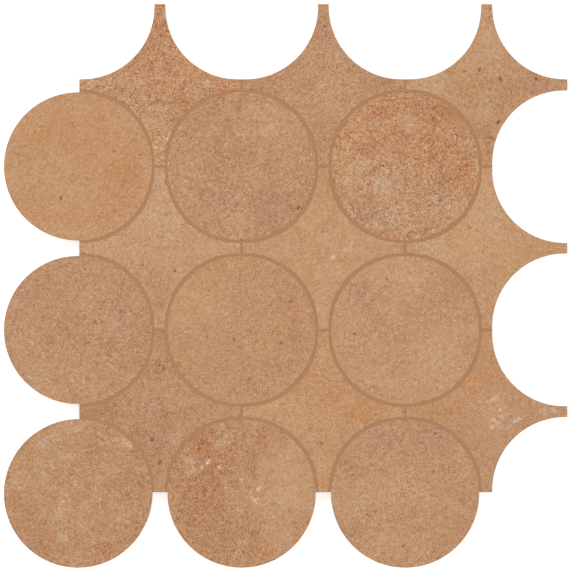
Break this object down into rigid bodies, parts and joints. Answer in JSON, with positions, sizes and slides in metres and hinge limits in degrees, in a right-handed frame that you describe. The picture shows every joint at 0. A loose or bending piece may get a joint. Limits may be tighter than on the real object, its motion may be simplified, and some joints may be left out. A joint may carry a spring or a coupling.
{
  "type": "mosaic tile sheet",
  "caption": "Porcelain mosaic sheet of round tiles and four-pointed stars with filled joints on a net; its edges interlock with the next sheet.",
  "frame": {"origin": "centre of the sheet's bounding square, on the underside of the backing net", "axes": "+Z out of the tile faces, +X to the right along a row of tiles, +Y to the top row; the sheet lies face up"},
  "size_m": [0.2996, 0.2996, 0.0096],
  "materials": {
    "tile": "matt terracotta-look porcelain",
    "grout": "matt sanded grout",
    "net": "coated glass-fibre net"
  },
  "bodies": {
    "root": {"disc_row1_col1": "tile", "disc_row1_col2": "tile", "disc_row1_col3": "tile", "disc_row2_col1": "tile", "disc_row2_col2": "tile", "disc_row2_col3": "tile", "disc_row3_col1": "tile", "disc_row3_col2": "tile", "disc_row3_col3": "tile", "star_row1_col1": "tile", "star_row1_col2": "tile", "star_row1_col3": "tile", "star_row2_col1": "tile", "star_row2_col2": "tile", "star_row2_col3": "tile", "star_row3_col1": "tile", "star_row3_col2": "tile", "star_row3_col3": "tile", "joint_grout": "grout", "joint_grout_corner": "grout", "net_strands_along_y": "net", "net_strands_along_x": "net"}
  },
  "joints": []
}
